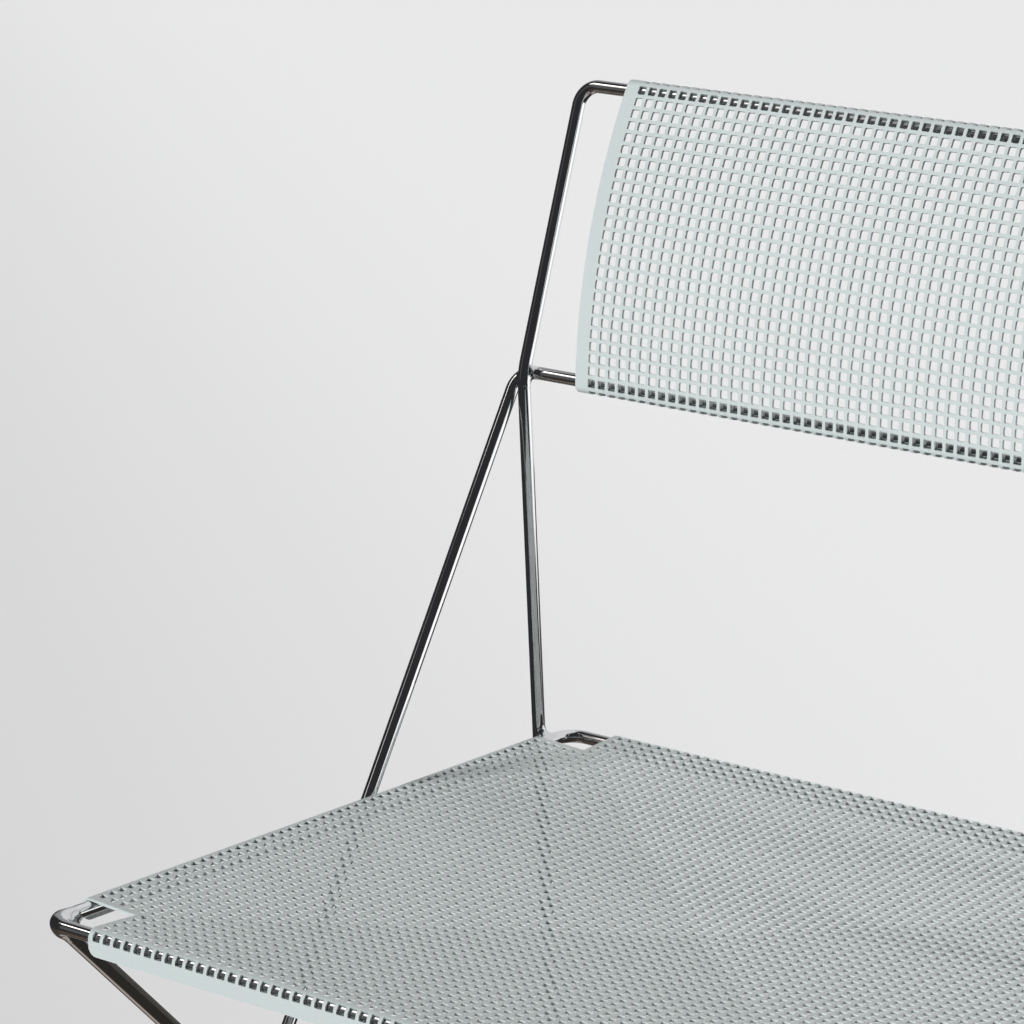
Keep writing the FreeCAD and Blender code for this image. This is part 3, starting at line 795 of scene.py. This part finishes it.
def surround(radius, middle):
    """A sphere of glow round the stage: the dark room, then each card mixed in by a product of two soft
    steps, one from the distance in azimuth to its middle and one from the distance in elevation."""
    azimuth, elevation = np.meshgrid(np.arange(-180, 180, 1.5), np.linspace(-90, 90, 121))
    colour = np.broadcast_to(ROOM, azimuth.shape + (3,))
    for az, half_az, el, half_el, soft, *glow in CARDS:
        off_az = np.abs((azimuth - az + 180) % 360 - 180)
        steps = np.stack([half_az - off_az, half_el - np.abs(elevation - el)]) / soft + 0.5
        steps = steps.clip(0, 1)
        mask = (steps * steps * (3 - 2 * steps)).prod(0)[..., None]
        colour = colour * (1 - mask) + np.array(glow) * mask
    verts = toward(azimuth, elevation) * radius + middle
    index = np.arange(azimuth.size).reshape(azimuth.shape)
    ahead = np.roll(index, -1, 1)
    quads = np.stack([index[:-1], index[1:], ahead[1:], ahead[:-1]], -1).reshape(-1, 4)
    made, tree, out = bare_material("studio_cards")
    reader = tree.nodes.new("ShaderNodeAttribute")
    reader.attribute_name = "glow"
    shine = tree.nodes.new("ShaderNodeEmission")
    tree.links.new(reader.outputs["Color"], shine.inputs["Color"])
    tree.links.new(shine.outputs["Emission"], out.inputs["Surface"])
    cards = stage_mesh("surround", verts.reshape(-1, 3), quads, made)
    layer = cards.data.attributes.new("glow", "FLOAT_COLOR", "POINT")
    rgba = np.concatenate([colour.reshape(-1, 3), np.ones((azimuth.size, 1))], 1)
    layer.data.foreach_set("color", rgba.astype(np.float32).ravel())
    cards.visible_camera = cards.visible_diffuse = cards.visible_shadow = False
    cards.visible_transmission = cards.visible_volume_scatter = False
    return cards


surround(SURROUND_R, SURROUND_AT)


def flag(name, corners, glow):
    """A flat dark card with these corners, seen only in reflections."""
    made, tree, out = bare_material(name)
    shine = tree.nodes.new("ShaderNodeEmission")
    shine.inputs["Color"].default_value = (*glow, 1.0)
    tree.links.new(shine.outputs["Emission"], out.inputs["Surface"])
    card = stage_mesh(name, np.array(corners), np.arange(len(corners))[None], made)
    card.visible_camera = card.visible_diffuse = card.visible_shadow = False
    card.visible_transmission = card.visible_volume_scatter = False


FLAG_TONE = (0.07, 0.065, 0.058)
flag("rear_flag", [[-1.2, 1, 0], [0.62, 1, 0], [0.62, 1, 0.08], [0, 1, 0.35], [-1.2, 1, 0.35]], FLAG_TONE)
# Dark floor under and beside the chair, with painted shade where the chair's shadow falls on it; this card
# is seen only in reflections.
DARK_FLOOR_SHADE_TONE = (0.03, 0.027, 0.024)
flag("dark_floor_and_shade", [[-0.21, -0.2, 0.002], [1.3, -0.2, 0.002], [1.3, 1, 0.002], [-0.21, 1, 0.002]], DARK_FLOOR_SHADE_TONE)

FILL_TONE = (1.0, 0.97, 0.95)
FILL_STRENGTH = 0.024
world = bpy.data.worlds.new("studio")
bpy.context.scene.world = world
world.use_nodes = True
sky = world.node_tree
backdrop = sky.nodes["Background"]
backdrop.inputs["Color"].default_value = (*BACKDROP, 1.0)
fill = sky.nodes.new("ShaderNodeBackground")
fill.inputs["Color"].default_value = (*FILL_TONE, 1.0)
fill.inputs["Strength"].default_value = FILL_STRENGTH
sky_path = sky.nodes.new("ShaderNodeLightPath")
sky_mix = sky.nodes.new("ShaderNodeMixShader")
sky.links.new(sky_path.outputs["Is Camera Ray"], sky_mix.inputs["Fac"])
sky.links.new(fill.outputs["Background"], sky_mix.inputs[1])
sky.links.new(backdrop.outputs["Background"], sky_mix.inputs[2])
sky.links.new(sky_mix.outputs["Shader"], sky.nodes["World Output"].inputs["Surface"])


def lamp(name, azimuth, elevation, softness, energy, colour):
    """A far soft lamp at a compass place, left out of reflections, which have the cards instead."""
    light = bpy.data.lights.new(name, "SUN")
    light.energy = energy
    light.angle = math.radians(softness)
    light.color = colour
    made = bpy.data.objects.new(name, light)
    made.matrix_world = Vector(toward(azimuth, elevation)).to_track_quat("Z", "Y").to_matrix().to_4x4()
    made.visible_glossy = False
    bpy.context.scene.collection.objects.link(made)


# Lamps: azimuth, elevation and softness in degrees, energy, colour
lamp("key", -24.0, 15.5, 16.0, 3.1, (0.965, 1.0, 1.0))
lamp("side", 101.0, 17.5, 9.0, 1.45, (1.0, 0.965, 0.955))
lamp("rear", -162.0, 12.0, 30.0, 2.2, (1.0, 0.965, 0.955))

# Camera at the photograph's place

CAMERA_AT = Vector((1.1540, -1.5717, 1.2179))
CAMERA_AZ, CAMERA_EL, CAMERA_ROLL = (math.radians(a) for a in (38.443, 16.541, -1.153))
FOCAL_PX, PHOTO_PX, SENSOR = 4408.1, 1024, 36.0
lens = bpy.data.cameras.new("camera")
lens.sensor_width = SENSOR
lens.lens = FOCAL_PX / PHOTO_PX * SENSOR
camera = bpy.data.objects.new("camera", lens)
look = Vector((
    -math.sin(CAMERA_AZ) * math.cos(CAMERA_EL),
    math.cos(CAMERA_AZ) * math.cos(CAMERA_EL),
    -math.sin(CAMERA_EL),
))
camera.matrix_world = (
    Matrix.Translation(CAMERA_AT)
    @ look.to_track_quat("-Z", "Y").to_matrix().to_4x4()
    @ Matrix.Rotation(CAMERA_ROLL, 4, "Z")
)
bpy.context.scene.collection.objects.link(camera)
bpy.context.scene.camera = camera
bpy.context.scene.view_settings.view_transform = "Standard"
